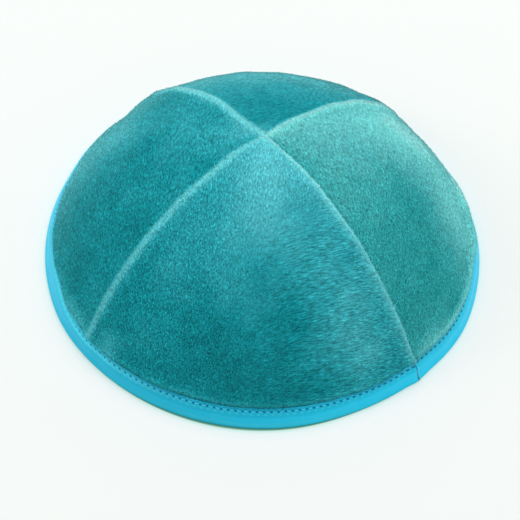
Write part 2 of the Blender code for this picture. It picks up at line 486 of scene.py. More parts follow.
def smooth_face(azimuth, climb):
    """The dome's outer face, without the cloth's folds and relief."""
    return dome_points(azimuth, climb, 0)


def binding_height(azimuth):
    return changed(BINDING_HEIGHT, azimuth, RISES)


def waves(points, wavelength, seed, count=48):
    """A smooth random pattern of about this wavelength, with a spread of 1, the same each run."""
    random = np.random.RandomState(seed)
    ways = random.normal(size=(3, count))
    ways /= np.linalg.norm(ways, axis=0)
    turns = 2 * pi / (wavelength * random.uniform(0.75, 1.35, count))
    starts = random.uniform(0, 2 * pi, count)
    return np.sin(points @ (ways * turns) + starts).sum(axis=-1) * sqrt(2 / count)


def unit(vectors):
    return vectors / np.maximum(np.linalg.norm(vectors, axis=-1, keepdims=True), 1e-12)


def meridian():
    """Climbs from the lower edge to the crown, and the length of cloth up to each."""
    climbs = np.linspace(climb_of(BINDING_THICKNESS + GAP), 1, 4000)
    steps = np.hypot(np.diff(reach_at(climbs, 0)), np.diff(rise_of(climbs) * CROWN_HEIGHT))
    return climbs, np.concatenate([[0], np.cumsum(steps)])


MERIDIAN_CLIMBS, MERIDIAN_LENGTHS = meridian()
GORE_LENGTH = MERIDIAN_LENGTHS[-1]


def climb_at(ring):
    """The climb of a ring, from 0 at the crown to 1 at the gore's lower edge."""
    return np.interp((1 - ring) * GORE_LENGTH, MERIDIAN_LENGTHS, MERIDIAN_CLIMBS)


def gore_of(azimuth):
    """The number of the gore at an azimuth, and the turn from that gore's first seam."""
    turn = np.mod(azimuth - SEAM_AZIMUTH, 2 * pi)
    number = np.minimum((turn / GORE_ANGLE).astype(int), 3)
    return number, turn - number * GORE_ANGLE


def seam_distances(azimuth, climb):
    """How far a place is from its gore's first and second seam."""
    turn = gore_of(azimuth)[1]
    reach = reach_at(climb, 0)
    return reach * np.abs(np.sin(turn)), reach * np.abs(np.cos(turn))


def fold(distance, width):
    """How far a gore's rounded edge has turned down, from 0 to 1, this far from its seam."""
    share = np.clip(1 - distance / width, 0, 1)
    return 1 - np.sqrt(1 - share ** 2)


def ridge_rise(azimuth, climb):
    """The height of the raised edges of the gores that were sewn on top."""
    number = gore_of(azimuth)[0]
    distances = seam_distances(azimuth, climb)
    rise = 0.0
    for side, seam, crest, *rest in RIDGES:
        here = number == GORE_SIDES.index(side)
        rise = rise + here * RIDGE_RISE * hump(distances[seam] - crest, RIDGE_RISE_REACH)
    return rise


def fold_width(number, seam):
    """The width over which a gore's edge turns down into its seam."""
    width = np.full(len(GORE_SIDES), FOLD_WIDTH)
    for side, ridge_seam, *rest in RIDGES:
        if ridge_seam == seam:
            width[GORE_SIDES.index(side)] = RIDGE_FOLD_WIDTH
    return width[number]


def velvet_depth(azimuth, climb):
    """The cloth's depth under the dome: tucked in the binding, rolled into the seams, and uneven."""
    smooth = smooth_face(azimuth, climb)
    above = rise_of(climb) * CROWN_HEIGHT - binding_height(azimuth)
    free = smooth_rise(above / TUCK_HEIGHT)
    tuck = (BINDING_THICKNESS + GAP - PILE_SINK) * (1 - free)
    over = changed(OVERHANG, azimuth, OVERHANG_CHANGES) * hump(above - OVERHANG_RISE, OVERHANG_REACH)
    wander = FOLD_WANDER * waves(smooth, *FOLD_WAVES)
    number = gore_of(azimuth)[0]
    flat = 1.0
    for seam, distance in enumerate(seam_distances(azimuth, climb)):
        flat = flat * (1 - fold(distance + wander, fold_width(number, seam)))
    nearest = np.minimum(*seam_distances(azimuth, climb))
    swell = ALLOWANCE_SWELL * smooth_rise(SWELL_FADE - SWELL_FADE * nearest / ALLOWANCE)
    swell = swell + ridge_rise(azimuth, climb)
    depth = PILE_SINK + tuck + free * (FOLD_DEPTH * (1 - flat) - swell * flat - over)
    for name, wavelength, rise, seed in RELIEF:
        depth = depth - free * rise * waves(smooth, wavelength, seed)
    return depth


def velvet_points(azimuth, climb):
    return dome_points(azimuth, climb, velvet_depth(azimuth, climb))


def backing_depth(azimuth, climb):
    """The gore's inner face, with the cloth turned back beside each seam."""
    smooth = dome_points(azimuth, climb, PANEL_WALL)
    height = rise_of(climb) * CROWN_HEIGHT
    free = smooth_rise((height - binding_height(azimuth)) / TUCK_HEIGHT)
    nearest = np.minimum(*seam_distances(azimuth, climb))
    fray = FRAY * waves(smooth, *FRAY_WAVES)
    turned_back = 1 - smooth_rise((nearest + fray - ALLOWANCE) / TURNED_BACK_END)
    pulled_in = hump(nearest, SEAM_PULL_REACH)
    slack = BACK_SLACK * waves(smooth, *BACK_WAVES)
    return PANEL_WALL + free * (TURNED_BACK * turned_back * (1 - pulled_in) + slack)


def nap_and_painted_light_of(azimuth, climb):
    """How light the pile is painted, from 0 to 1: its tone and mottles, with painted light, shade and
    sheen.
    """
    number = gore_of(azimuth)[0]
    height = rise_of(climb) * CROWN_HEIGHT
    smooth = smooth_face(azimuth, climb)
    nap_and_painted_light = NAP_AND_PAINTED_LIGHT_LEVELS[number]
    # Patches of painted light and shade.
    for side, *patch in PAINTED_LIGHT_AND_SHADE_PATCHES:
        here = number == GORE_SIDES.index(side)
        nap_and_painted_light = nap_and_painted_light + here * marked(azimuth, height, [patch])
    for name, wavelength, lightness, seed in MOTTLES:
        nap_and_painted_light = nap_and_painted_light + lightness * waves(smooth, wavelength, seed)
    distances = seam_distances(azimuth, climb)
    upper = smooth_rise((height - RIDGE_CROWN_HEIGHT) / (CROWN_HEIGHT - RIDGE_CROWN_HEIGHT))
    for side, seam, crest, reach, low, high, lip in RIDGES:
        own = GORE_SIDES.index(side)
        here = number == own
        face = RIDGE_FACE_SLOPE * (crest - distances[seam]) - RIDGE_FACE
        past = np.maximum(np.maximum(distances[seam] - crest, face), 0)
        # Painted sheen along the ridge's crest and beyond it.
        nap_and_painted_light = nap_and_painted_light + here * RIDGE_PAINTED_SHEEN * hump(past, RIDGE_PAINTED_SHEEN_REACH)
        nap_and_painted_light = nap_and_painted_light + here * (low + (high - low) * upper - nap_and_painted_light) * hump(past, reach)
        # Painted sheen on the other gore's lip.
        across = number == (own + (1 if seam else -1)) % len(GORE_SIDES)
        nap_and_painted_light = nap_and_painted_light + across * (lip - nap_and_painted_light) * hump(distances[1 - seam], RIDGE_LIP_REACH)
    return nap_and_painted_light


def lay_of(azimuth, climb):
    """How far the grain has swung towards the front gore's right end, from 0 to 1."""
    number, turn = gore_of(azimuth)
    height = rise_of(climb) * CROWN_HEIGHT
    swung = smooth_rise((turn - SWING_START) / SWING_SPAN)
    swung = swung * smooth_rise((SWING_TOP - height) / SWING_FADE)
    return np.where(number == 0, swung, 0.0)


def grain_of(azimuth, points):
    """A place in its gore's own axes: along the grain, across it, and up."""
    angle = GRAIN_ANGLES[gore_of(azimuth)[0]]
    along = np.cos(angle) * points[..., 0] + np.sin(angle) * points[..., 1]
    across = -np.sin(angle) * points[..., 0] + np.cos(angle) * points[..., 1]
    return np.stack([along, across, points[..., 2]], axis=-1)


def pile_values(azimuth, climb, points):
    """What the velvet's material reads at each point. Where painted light makes the pile lighter, its
    speckle is weaker.
    """
    nap_and_painted_light = nap_and_painted_light_of(azimuth, climb)
    number = gore_of(azimuth)[0]
    return {
        "nap_and_painted_light": nap_and_painted_light,
        "speckle": GORE_SPECKLES[number] * np.clip(SPECKLE_DARK_END - nap_and_painted_light, SPECKLE_LEAST, 1),
        "painted_warm_light": PAINTED_WARM_LIGHTS[number] * smooth_rise((PAINTED_WARM_LIGHT_END - nap_and_painted_light) / PAINTED_WARM_LIGHT_FADE),
        "lay": lay_of(azimuth, climb),
        "grain": grain_of(azimuth, points),
    }


def gore_grid(cells):
    """Ring and share across the gore for a square grid of points, with the crown at one corner."""
    steps = np.linspace(0, 1, cells + 1)
    up, across = np.meshgrid(steps, steps, indexing="ij")
    ring = np.maximum(up, across)
    safe = np.maximum(ring, 1e-9)
    half = np.where(up >= across, across / safe, up / safe) ** SEAM_DENSITY
    share = np.where(up >= across, half / 2, 1 - half / 2)
    share[0, 0] = 0.5
    return up, across, ring, share


def gore_places(number, ring, share, gap):
    """Azimuth and climb, half a gap clear of both seam planes."""
    climb = climb_at(ring)
    reach = np.maximum(reach_at(climb, 0), CROWN_REACH)
    inset = np.arcsin(np.minimum(gap / 2 / reach, sqrt(0.5)))
    first = SEAM_AZIMUTH + number * GORE_ANGLE
    return first + inset + share * (GORE_ANGLE - 2 * inset), climb


def quads_of(index, closed=(0, 0)):
    """The quads of a grid of point numbers, which closes on itself along each axis marked 1."""
    index = np.pad(index, [(0, step) for step in closed], "wrap")
    corners = (index[:-1, :-1], index[1:, :-1], index[1:, 1:], index[:-1, 1:])
    return np.stack(corners, axis=-1).reshape(-1, 4)


def border_of(index):
    """A grid's outermost point numbers, once round."""
    return np.concatenate([index[:-1, 0], index[-1, :-1], index[:0:-1, -1], index[0, :0:-1]])


def map_cells(count):
    """Columns and cells of a square table on the texture, with one cell for each shape."""
    columns = int(np.ceil(sqrt(count)))
    return columns, np.stack([np.arange(count) % columns, np.arange(count) // columns], axis=-1)


def set_values(mesh, values):
    """Stores what the materials read at each point."""
    for key, value in values.items():
        kind = "FLOAT" if value.ndim == 1 else "FLOAT_VECTOR"
        layer = mesh.attributes.new(key, kind, "POINT")
        field = "value" if value.ndim == 1 else "vector"
        layer.data.foreach_set(field, value.astype(np.float32).ravel())


def linked(name, data):
    """A new object in the scene."""
    thing = bpy.data.objects.new(name, data)
    bpy.context.scene.collection.objects.link(thing)
    return thing


def new_piece(name, points, faces, materials, maps, values=None, numbers=None, normals=None):
    """One mesh that rides on the cap. maps is a place on the texture for each face corner."""
    mesh = bpy.data.meshes.new(name)
    mesh.from_pydata(points.reshape(-1, 3), [], faces)
    mesh.shade_smooth()
    if normals is not None:
        mesh.normals_split_custom_set_from_vertices(normals.tolist())
    for material in materials:
        mesh.materials.append(material)
    if numbers is not None:
        mesh.polygons.foreach_set("material_index", numbers)
    layer = mesh.uv_layers.new(name="OFBake")
    layer.uv.foreach_set("vector", maps.astype(np.float32).ravel())
    set_values(mesh, values or {})
    piece = linked(name, mesh)
    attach(piece, "root")
    return piece


def surface_frame(azimuth, climb, face):
    """Point, outward normal, upward and sideways directions of a face at each place."""
    step = 1e-4
    here = face(azimuth, climb)
    up = unit(face(azimuth, climb + step) - here)
    side = unit(face(azimuth + step, climb) - here)
    normal = unit(np.cross(side, up))
    return here, normal, up, np.cross(up, normal)


def wall_maps(count):
    """Places on the texture for the cloth's edge, a thin band of five-sided faces."""
    shape = np.array([(0, 0), (0.5, 0), (1, 0), (1, 1), (0, 1)])
    across = WALL_MAP[0] + WALL_MAP[1] * (np.arange(count)[:, None] + shape[:, 0]) / count
    up = np.broadcast_to(WALL_MAP[2] + WALL_MAP[3] * shape[:, 1], across.shape)
    return np.stack([across, up], axis=-1).reshape(-1, 2)


def build_gore(number, side, velvet, backing):
    """A closed shell: a fine outer face, a coarser inner face and the cloth's edge between them."""
    points, faces, maps, numbers, values, borders = [], [], [], [], [], []
    start = 0
    for cells, inner in ((GORE_CELLS, False), (GORE_CELLS // 2, True)):
        up, across, ring, share = gore_grid(cells)
        azimuth, climb = gore_places(number, ring, share, SEWN_GAP if inner else GAP)
        depth = backing_depth(azimuth, climb) if inner else velvet_depth(azimuth, climb)
        place = dome_points(azimuth, climb, depth).reshape(-1, 3)
        index = np.arange(up.size).reshape(up.shape)
        quads = quads_of(index)
        if not inner:
            quads = quads[:, ::-1]
        flat = np.stack([up, across], axis=-1).reshape(-1, 2)
        first, width = BACK_MAP if inner else FACE_MAP
        maps.append(first + flat[quads].reshape(-1, 2) * width)
        faces += (start + quads).tolist()
        numbers.append(np.full(len(quads), int(inner)))
        points.append(place)
        values.append(pile_values(azimuth.ravel(), climb.ravel(), place))
        borders.append(start + border_of(index))
        start += up.size
    outer, back = borders
    outer = outer.reshape(-1, 2)
    after = np.roll(outer[:, 0], -1)
    walls = np.stack([outer[:, 0], outer[:, 1], after, np.roll(back, -1), back], axis=-1)
    faces += walls.tolist()
    maps.append(wall_maps(len(walls)))
    numbers.append(np.zeros(len(walls), int))
    points, maps, numbers = (np.concatenate(parts) for parts in (points, maps, numbers))
    values = {key: np.concatenate([part[key] for part in values]) for key in values[0]}
    piece = new_piece("gore_" + side, points, faces, (velvet, backing), maps, values, numbers)
    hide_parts("panel_" + side)


def spikes(root, way, length, width):
    """Points, faces and texture places of many closed three-sided spikes."""
    count = len(root)
    side = unit(np.cross(way, np.roll(way, 1, axis=-1)))
    deep = np.cross(way, side)
    points = np.empty((count, 4, 3))
    for corner in range(3):
        turn = 2 * pi * corner / 3
        points[:, corner] = root + (cos(turn) * side + sin(turn) * deep) * width[:, None] / 2
    points[:, 3] = root + way * length[:, None]
    corners = np.array([(0, 1, 3), (1, 2, 3), (2, 0, 3), (0, 2, 1)])
    faces = (4 * np.arange(count)[:, None, None] + corners).reshape(-1, 3)
    columns, cell = map_cells(count)
    quarter = np.array([(0, 0), (0.5, 0), (0, 0.5), (0.5, 0.5)])
    shape = np.array([(0.05, 0.05), (0.45, 0.05), (0.25, 0.45)])
    maps = (cell[:, None, None] + quarter[None, :, None] + shape[None, None]) / columns
    return points, faces, maps


def open_places(number, random):
    """Places spread evenly over a gore's cloth, clear of the binding."""
    share = random.uniform(TUFT_MARGIN, 1 - TUFT_MARGIN, TUFTS_PER_GORE)
    azimuth = SEAM_AZIMUTH + (number + share) * GORE_ANGLE
    areas = reach_at(MERIDIAN_CLIMBS[:-1], 0) * np.diff(MERIDIAN_LENGTHS)
    areas = np.concatenate([[0], np.cumsum(areas)])
    low = np.interp(climb_of(binding_height(azimuth) + TUCK_HEIGHT), MERIDIAN_CLIMBS, areas)
    pick = low + (areas[-1] - low) * random.uniform(0, 1, TUFTS_PER_GORE)
    return azimuth, np.minimum(np.interp(pick, areas, MERIDIAN_CLIMBS), TUFT_TOP_CLIMB)


def ridge_places(number, seam, crest, random):
    """Places in rows along one of a gore's seams, on both sides of the ridge's crest."""
    count = int(GORE_LENGTH / RIDGE_PITCH)
    start = np.interp(climb_of(BINDING_HEIGHT + TUCK_HEIGHT), MERIDIAN_CLIMBS, MERIDIAN_LENGTHS)
    azimuths, climbs = [], []
    for row in range(RIDGE_ROWS):
        length = start + (GORE_LENGTH - start) * (np.arange(count) + random.uniform(0, 1, count)) / count
        climb = np.minimum(np.interp(length, MERIDIAN_LENGTHS, MERIDIAN_CLIMBS), RIDGE_TOP_CLIMB)
        distance = crest - GAP + RIDGE_ROW_STEP * (row + random.uniform(0, RIDGE_ROW_SPREAD, count))
        turn = np.arcsin(np.minimum(distance / reach_at(climb, 0), RIDGE_MOST_SINE))
        first = SEAM_AZIMUTH + number * GORE_ANGLE
        azimuths.append(first + turn if seam == 0 else first + GORE_ANGLE - turn)
        climbs.append(climb)
    return np.concatenate(azimuths), np.concatenate(climbs)


def hem_places(number, random):
    """Places in rows just above the binding."""
    count = int(RIM_RADIUS * GORE_ANGLE / HEM_PITCH)
    azimuths, climbs = [], []
    for row in range(HEM_ROWS):
        share = (np.arange(count) + random.uniform(0, 1, count)) / count
        azimuth = SEAM_AZIMUTH + (number + share) * GORE_ANGLE
        rise = HEM_START + HEM_ROW_STEP * row + random.uniform(0, HEM_ROW_SPREAD, count)
        azimuths.append(azimuth)
        climbs.append(climb_of(binding_height(azimuth) + TUCK_HEIGHT * rise))
    return np.concatenate(azimuths), np.concatenate(climbs)


def combing(kind, azimuth, climb):
    """How far the pile is combed aside at each place."""
    strength, wavelength, seed = TUFT_KINDS[kind][3:]
    return strength * waves(smooth_face(azimuth, climb), wavelength, seed)


def tufts(kind, azimuth, climb, random, along_up, along_side):
    """Place, root, direction, length and shading normal of tufts that lean one way along the cloth."""
    lean, length, scatter = TUFT_KINDS[kind][:3]
    here, normal, up, side = surface_frame(azimuth, climb, velvet_points)
    count = len(here)
    flat = along_up[:, None] * up + along_side[:, None] * side
    turn = random.normal(0, scatter, count)[:, None]
    flat = unit(np.cos(turn) * flat + np.sin(turn) * np.cross(normal, flat))
    tilt = (radians(lean) + random.normal(0, TUFT_LEAN_SPREAD, count))[:, None]
    way = unit(np.cos(tilt) * normal + np.sin(tilt) * flat)
    facing = unit(surface_frame(azimuth, climb, smooth_face)[1] + TUFT_TURN * way)
    lengths = length * random.uniform(*TUFT_SIZES, count)
    return azimuth, climb, here - normal * TUFT_SINK, way, lengths, facing


def build_pile(number, side, velvet):
    """Tufts all over a gore, along its grain, and denser ones along its ridges and binding."""
    random = np.random.RandomState(PILE_SEED + number)
    azimuth, climb = open_places(number, random)
    turn = azimuth + pi - GRAIN_ANGLES[number] + GRAIN_SWING * lay_of(azimuth, climb)
    turn = turn + combing("open", azimuth, climb)
    groups = [tufts("open", azimuth, climb, random, np.cos(turn), np.sin(turn))]
    for ridge_side, seam, crest, *rest in RIDGES:
        if ridge_side != side:
            continue
        azimuth, climb = ridge_places(number, seam, crest, random)
        away = np.full(len(azimuth), -1.0 if seam == 0 else 1.0)
        comb = combing("ridge", azimuth, climb) + RIDGE_COMB_UP
        groups.append(tufts("ridge", azimuth, climb, random, comb, away))
    azimuth, climb = hem_places(number, random)
    comb = combing("hem", azimuth, climb)
    groups.append(tufts("hem", azimuth, climb, random, -np.ones(len(azimuth)), comb))
    azimuth, climb, root, way, length, facing = (np.concatenate(part) for part in zip(*groups))
    width = TUFT_WIDTH * random.uniform(*TUFT_SIZES, len(root))
    width[TUFTS_PER_GORE:] *= RIDGE_WIDTH
    points, faces, maps = spikes(root, way, length, width)
    values = pile_values(azimuth, climb, root)
    values = {key: np.repeat(value, 4, axis=0) for key, value in values.items()}
    # Painted shade at each tuft's foot, a painted highlight at its tip, and a random tone for each tuft.
    foot_to_tip = np.array([-TUFT_FOOT_SHADE] * 3 + [TUFT_TIP_LIGHT])
    uneven = random.normal(0, TUFT_UNEVEN, len(root))
    uneven[TUFTS_PER_GORE:] *= RIDGE_UNEVEN
    values["nap_and_painted_light"] += np.tile(foot_to_tip, len(root)) + np.repeat(uneven, 4)
    normals = np.repeat(facing, 4, axis=0)
    new_piece("pile_" + side, points, faces.tolist(), (velvet,), maps, values, normals=normals)


def binding_outline(azimuth):
    """Heights and depths round the strip's section at each azimuth, from its outer lip inwards."""
    top = binding_height(azimuth)
    line = top - STITCH_DROP
    wall, back, bend, edge = BINDING_THICKNESS, BINDING_DEPTH, BINDING_BEND, BINDING_LIP
    fine = np.radians((0, 30, 60, 90))
    coarse = np.radians((90, 45, 0))
    high = line - GROOVE_MARGIN * GROOVE_REACH
    section = [(bend - bend * cos(turn), bend - bend * sin(turn)) for turn in fine]
    section += [(bend + (high - bend) * share, 0) for share in FACE_SHARES]
    section += [(line + offset * GROOVE_REACH, 0) for offset in GROOVE_STEPS]
    section += [(top - edge + edge * sin(turn), edge - edge * cos(turn)) for turn in fine]
    section += [(top, wall), (top / 2, wall), (wall, wall)]
    section += [(wall, back - wall), (top / 2, back - wall), (top, back - wall)]
    section += [(top - edge + edge * sin(turn), back - edge + edge * cos(turn)) for turn in coarse]
    section += [(line + offset * GROOVE_REACH, back) for offset in BACK_GROOVE_STEPS]
    section += [(top / 2, back)]
    section += [(bend - bend * cos(turn), back - bend + bend * sin(turn)) for turn in coarse]
    return [np.stack([part + 0 * azimuth for part in column], axis=-1) for column in zip(*section)]


def binding_relief(azimuth, height, depth):
    """What is added to the strip's depth at each place, and what its material reads there."""
    top = binding_height(azimuth)
    phase = (azimuth - JOIN_AZIMUTH) * STITCHES / (2 * pi)
    along = (phase - np.floor(phase) - 0.5) * 2 * pi * RIM_RADIUS / STITCHES
    drop = top - STITCH_DROP - height
    outside = smooth_rise(1 - depth / FACE_REACH)
    inside = smooth_rise((depth - BINDING_DEPTH + FACE_REACH) / FACE_REACH)
    groove = GROOVE_DEPTH * hump(drop, GROOVE_REACH)
    clear = 1 - STITCH_FADE_SHARE * beside(azimuth, STITCH_FADE_AZIMUTH, STITCH_FADE_REACH)
    longer = LONG_STITCH_SHARE * beside(azimuth, LONG_STITCH_AZIMUTH, LONG_STITCH_REACH)
    squeeze = 1 / (1 + longer)
    hole = hump((along - HOLE_SLANT * drop) * squeeze, HOLE_LENGTH) * hump(drop, HOLE_HEIGHT) * clear
    bulge = BULGE_DEPTH * hump(drop - BULGE_DROP, BULGE_REACH)
    tucked = LIP_TUCK * smooth_rise(-drop / LIP_TUCK_REACH)
    pucker = PUCKER * np.cos(2 * pi * (phase - PUCKER_SLANT * drop))
    pucker = pucker * hump(drop - PUCKER_DROP, PUCKER_REACH)
    places = dome_points(azimuth, climb_of(height), depth)
    slack = STRIP_SLACK * waves(places, *STRIP_WAVES) * smooth_rise(height / STRIP_SLACK_FOOT)
    past = turn_between(azimuth, JOIN_AZIMUTH) * RIM_RADIUS
    lifted = JOIN_LIFT * hump(np.minimum(past, 0), JOIN_LIFT_REACH) * smooth_rise(-past / JOIN_EASE)
    lifted = lifted * (JOIN_LIFT_LOW + (1 - JOIN_LIFT_LOW) * smooth_rise(height / JOIN_LIFT_FOOT))
    sunk = JOIN_SINK * hump(np.maximum(past, 0), JOIN_SINK_REACH) * smooth_rise(past / JOIN_EASE)
    # Painted shadow along the join.
    bow = CREASE_SHADOW_PLACE - CREASE_SHADOW_BOW * np.sin(pi * np.clip(height / top, 0, 1))
    crease_shadow = hump(past - bow, CREASE_SHADOW_REACH)
    flare = BINDING_FLARE * smooth_rise(1 - height / FLARE_HEIGHT)
    added = groove + tucked + HOLE_DEPTH * hole - bulge + pucker - slack - lifted + sunk - flare
    # Painted contact shadow at the strip's foot.
    contact_shadow = smooth_rise(1 - height / CONTACT_SHADOW_HEIGHT)
    contact_shadow = contact_shadow * beside(azimuth, CONTACT_SHADOW_AZIMUTH, CONTACT_SHADOW_SPREAD)
    # Painted shade.
    shade = SHADE_DEPTH * beside(azimuth, SHADE_AZIMUTH, SHADE_REACH)
    # Painted highlights.
    painted_highlight = marked(azimuth, drop, PAINTED_STRIP_HIGHLIGHTS)
    values = {
        "stitch": np.stack([phase, drop * 1000, clear], axis=-1).reshape(-1, 3),
        "marks": np.stack([crease_shadow * outside, contact_shadow * outside, painted_highlight * outside], axis=-1).reshape(-1, 3),
        "shade": (shade * outside).ravel(),
        "squeeze": squeeze.ravel(),
    }
    return added * outside - (groove + HOLE_DEPTH * hole) * inside, values


def build_binding(material):
    """The folded strip's section, carried once round the rim, with its stitch line pressed in."""
    turn = np.arange(STATIONS) * 2 * pi / STATIONS - pi
    azimuth = JOIN_AZIMUTH + turn * (1 - JOIN_GATHER * hump(turn * RIM_RADIUS, JOIN_REACH))
    heights, depths = binding_outline(azimuth)
    around = heights.shape[1]
    azimuths = np.repeat(azimuth[:, None], around, axis=1)
    added, values = binding_relief(azimuths, heights, depths)
    points = dome_points(azimuths, climb_of(heights), depths + added)
    points[..., 2] = np.maximum(points[..., 2], 0)
    faces = quads_of(np.arange(heights.size).reshape(heights.shape), (1, 1))
    run = STATIONS // STRIP_MAP_ROWS
    row, start = np.divmod(np.arange(STATIONS)[:, None, None], run)
    up = (np.arange(around)[:, None] + QUAD_CORNERS[:, 1]) / around * STRIP_MAP_FILL
    maps = np.empty((STATIONS, around, 4, 2))
    maps[..., 0] = start / run + QUAD_CORNERS[:, 0] / run
    maps[..., 1] = (row + up) / STRIP_MAP_ROWS
    piece = new_piece("rim_binding", points, faces.tolist(), (material,), maps, values)
    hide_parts("edge_binding")


def build_stitches(material):
    """One short thread between each two needle holes, outside and inside."""
    rings, sides = THREAD_RINGS, THREAD_SIDES
    points = []
    pitch = 2 * pi / STITCHES
    half = THREAD_SHARE * pitch
    span = np.linspace(-half, half, rings)
    along = np.abs(span) / half
    thick = THREAD_RADIUS * np.sqrt(1 - THREAD_TAPER * along ** 4)
    up = np.array([0, 0, 1.0])
    for back in (False, True):
        for number in range(STITCHES):
            azimuth = JOIN_AZIMUTH + (number + 1) * pitch + span
            tilt = 0 if back else THREAD_TILT * span / pitch
            height = binding_height(azimuth) - STITCH_DROP + tilt
            depth = GROOVE_DEPTH - THREAD_LIFT + THREAD_SAG * along ** 2
            if back:
                depth = BINDING_DEPTH - depth
            centre = dome_points(azimuth, climb_of(height), depth)
            outwards = unit(centre * (1, 1, 0))
            for turn in range(sides):
                angle = 2 * pi * turn / sides
                points.append(centre + thick[:, None] * (cos(angle) * outwards + sin(angle) * up))
    count = 2 * STITCHES
    grid = np.array(points).reshape(count, sides, rings, 3)
    index = np.arange(count * sides * rings).reshape(count, sides, rings)
    following = np.roll(index, -1, axis=1)
    corners = (index[..., :-1], index[..., 1:], following[..., 1:], following[..., :-1])
    faces = np.stack(corners, axis=-1).reshape(-1, 4).tolist()
    faces += index[:, :, 0].tolist()
    faces += index[:, ::-1, -1].tolist()
    columns, cell = map_cells(count)
    steps = np.empty((sides, rings - 1, 4, 2))
    steps[..., 0] = 0.05 + 0.85 * (np.arange(rings - 1)[:, None] + QUAD_CORNERS[:, 0]) / (rings - 1)
    steps[..., 1] = 0.05 + 0.75 * (np.arange(sides)[:, None, None] + QUAD_CORNERS[:, 1]) / sides
    maps = (cell[:, None, None, None] + steps[None]).reshape(-1, 2)
    cap = np.array([(cos(2 * pi * k / sides), sin(2 * pi * k / sides)) for k in range(sides)])
    first = cell[:, None] + np.array([0.25, 0.91]) + 0.06 * cap[None]
    last = cell[:, None] + np.array([0.70, 0.91]) + 0.06 * cap[None, ::-1]
    maps = np.concatenate([maps, first.reshape(-1, 2), last.reshape(-1, 2)]) / columns
    new_piece("topstitch", grid, faces, (material,), maps)


def new_material(name, **sockets):
    """A material with its constant values set on the shader's own sockets."""
    material = bpy.data.materials.new(name)
    material.use_nodes = True
    shader = material.node_tree.nodes["Principled BSDF"]
    for key, value in sockets.items():
        shader.inputs[key.replace("_", " ")].default_value = value
    return material, material.node_tree, shader


def node(tree, kind, inputs=None, **settings):
    """Adds a node, sets its properties, and fills or links its inputs by name or number."""
    made = tree.nodes.new(kind)
    for key, value in settings.items():
        setattr(made, key, value)
    for key, value in (inputs or {}).items():
        if isinstance(value, bpy.types.NodeSocket):
            tree.links.new(value, made.inputs[key])
        else:
            made.inputs[key].default_value = value
    return made


def noise(tree, coordinates, size, detail=2.0, roughness=0.5):
    """Noise from 0 to 1 whose grain is about size metres."""
    made = node(
        tree, "ShaderNodeTexNoise",
        {"Vector": coordinates, "Scale": 1 / size, "Detail": detail, "Roughness": roughness},
    )
    return made.outputs["Fac"]


def math(tree, operation, *values):
    return node(tree, "ShaderNodeMath", dict(enumerate(values)), operation=operation).outputs[0]


def times(tree, first, second):
    return math(tree, "MULTIPLY", first, second)


def mixed(tree, share, first, second):
    return node(tree, "ShaderNodeMix", {0: share, 6: first, 7: second}, data_type="RGBA").outputs[2]


def ramp(tree, share, rows):
    """A colour that follows a table of places and colours."""
    made = node(tree, "ShaderNodeValToRGB", {"Fac": share})
    stops = made.color_ramp.elements
    while len(stops) < len(rows):
        stops.new(0.5)
    for stop, (place, *colour) in zip(stops, rows):
        stop.position = place
        stop.color = (*colour, 1)
    return made.outputs["Color"]


def scaled(tree, vector, factors):
    """A vector with each part multiplied, by three numbers or by one socket."""
    if isinstance(factors, bpy.types.NodeSocket):
        return node(tree, "ShaderNodeVectorMath", {0: vector, 3: factors}, operation="SCALE").outputs[0]
    return node(tree, "ShaderNodeVectorMath", {0: vector, 1: factors}, operation="MULTIPLY").outputs[0]


def stored(tree, name, output="Fac"):
    """What the piece stores under this name at each point."""
    return node(tree, "ShaderNodeAttribute", attribute_name=name).outputs[output]


def object_place(tree):
    return node(tree, "ShaderNodeTexCoord").outputs["Object"]


def overlaid(tree, colour, strength, share, other):
    """A colour with another laid over it, by its strength and its greatest share."""
    return mixed(tree, times(tree, strength, share), colour, other)


def connect(tree, shader, colour, height=None, strength=0.0, distance=0.0):
    """Links the base colour, and the bump where there is a height."""
    tree.links.new(colour, shader.inputs["Base Color"])
    if height is not None:
        inputs = {"Strength": strength, "Distance": distance, "Height": height}
        bump = node(tree, "ShaderNodeBump", inputs)
        tree.links.new(bump.outputs[0], shader.inputs["Normal"])


def velvet_material():
    material, tree, shader = new_material(
        "velvet_pile",
        Roughness=0.85,
        Specular_IOR_Level=0.0,
        Sheen_Weight=1.0,
        Sheen_Roughness=0.30,
        Sheen_Tint=(0.31, 0.97, 1.0, 1.0),
    )
    place = stored(tree, "grain", "Vector")
    swung = node(tree, "ShaderNodeVectorRotate", {0: place, 3: GRAIN_SWING}, rotation_type="Z_AXIS")
    speckles = []
    for coordinates, stretch in ((place, GRAIN_STRETCH), (swung.outputs[0], SWUNG_STRETCH)):
        speckles.append(noise(tree, scaled(tree, coordinates, stretch), SPECKLE_SIZE, 1.0))
    shares = {0: stored(tree, "lay"), 2: speckles[0], 3: speckles[1]}
    speckle = node(tree, "ShaderNodeMix", shares).outputs[0]
    # Colour from the painted lightness, with painted warm light laid over it.
    cool = ramp(tree, stored(tree, "nap_and_painted_light"), NAP_AND_PAINTED_LIGHT_COLOURS)
    colour = mixed(tree, stored(tree, "painted_warm_light"), cool, scaled(tree, cool, PAINTED_WARM_LIGHT_FACTORS))
    power = times(tree, stored(tree, "speckle"), math(tree, "SUBTRACT", speckle, 0.5))
    colour = scaled(tree, colour, math(tree, "POWER", SPECKLE_CONTRAST, power))
    connect(tree, shader, colour, speckle, strength=0.5, distance=0.0002)
    return material


def backing_material():
    material, tree, shader = new_material("velvet_backing", Roughness=0.9, Specular_IOR_Level=0.1)
    weave = noise(tree, object_place(tree), size=0.0008, detail=3.0, roughness=0.6)
    colour = mixed(tree, weave, *BACKING_COLOURS)
    connect(tree, shader, colour, weave, strength=0.4, distance=0.0002)
    return material


